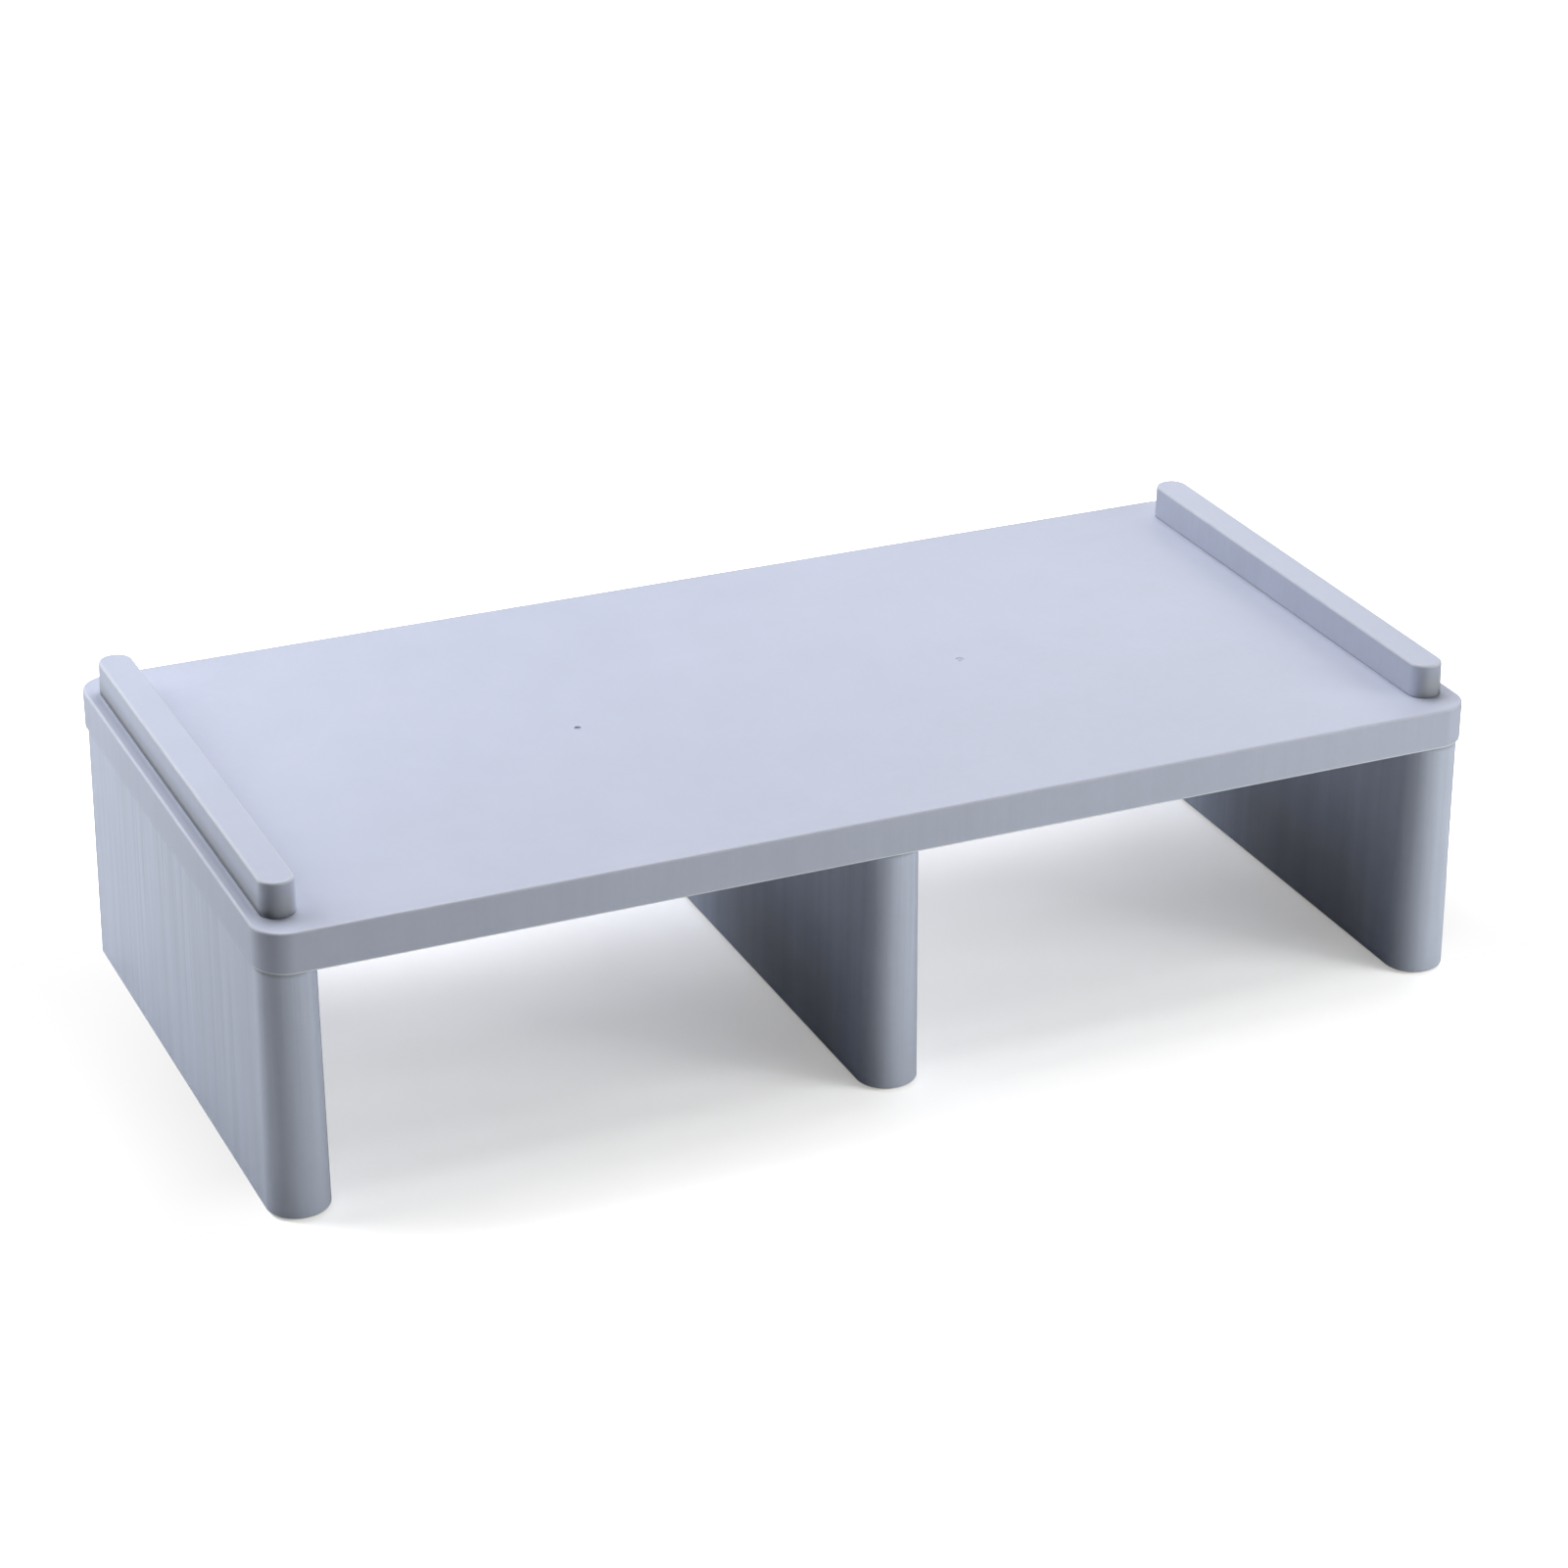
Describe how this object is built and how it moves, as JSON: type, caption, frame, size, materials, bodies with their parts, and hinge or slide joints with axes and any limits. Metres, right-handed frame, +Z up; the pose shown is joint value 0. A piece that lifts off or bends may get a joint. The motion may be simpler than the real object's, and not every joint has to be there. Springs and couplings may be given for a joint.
{
  "type": "monitor riser stand",
  "caption": "Low desk riser: a flat rounded tray with end rails, standing on deep push-fit leg panels that leave open bays under it.",
  "frame": {"origin": "on the desk surface, at the centre of the riser's footprint", "axes": "+Z up, +X along the long side towards the right-hand leg, -Y towards the user"},
  "size_m": [0.5, 0.245, 0.132],
  "materials": {
    "board_plastic": "fine satin moulded texture, blue-grey",
    "rail_plastic": "fine satin moulded texture, blue-grey",
    "leg_plastic": "satin with faint upright flow streaks, blue-grey",
    "foot_rubber": "matte black non-slip rubber"
  },
  "bodies": {
    "board_unit": {"top_board": "board_plastic", "left_rail": "rail_plastic", "right_rail": "rail_plastic"},
    "left_leg_unit": {"left_leg": "leg_plastic", "left_front_foot": "foot_rubber", "left_rear_foot": "foot_rubber"},
    "centre_leg_unit": {"centre_leg": "leg_plastic", "centre_front_foot": "foot_rubber", "centre_rear_foot": "foot_rubber"},
    "right_leg_unit": {"right_leg": "leg_plastic", "right_front_foot": "foot_rubber", "right_rear_foot": "foot_rubber"}
  },
  "joints": [
    {"name": "left_leg_pull", "type": "slide", "parent": "board_unit", "child": "left_leg_unit", "axis": [0, 0, -1], "range_m": [0, 0.03]},
    {"name": "centre_leg_pull", "type": "slide", "parent": "board_unit", "child": "centre_leg_unit", "axis": [0, 0, -1], "range_m": [0, 0.03]},
    {"name": "right_leg_pull", "type": "slide", "parent": "board_unit", "child": "right_leg_unit", "axis": [0, 0, -1], "range_m": [0, 0.03]}
  ]
}
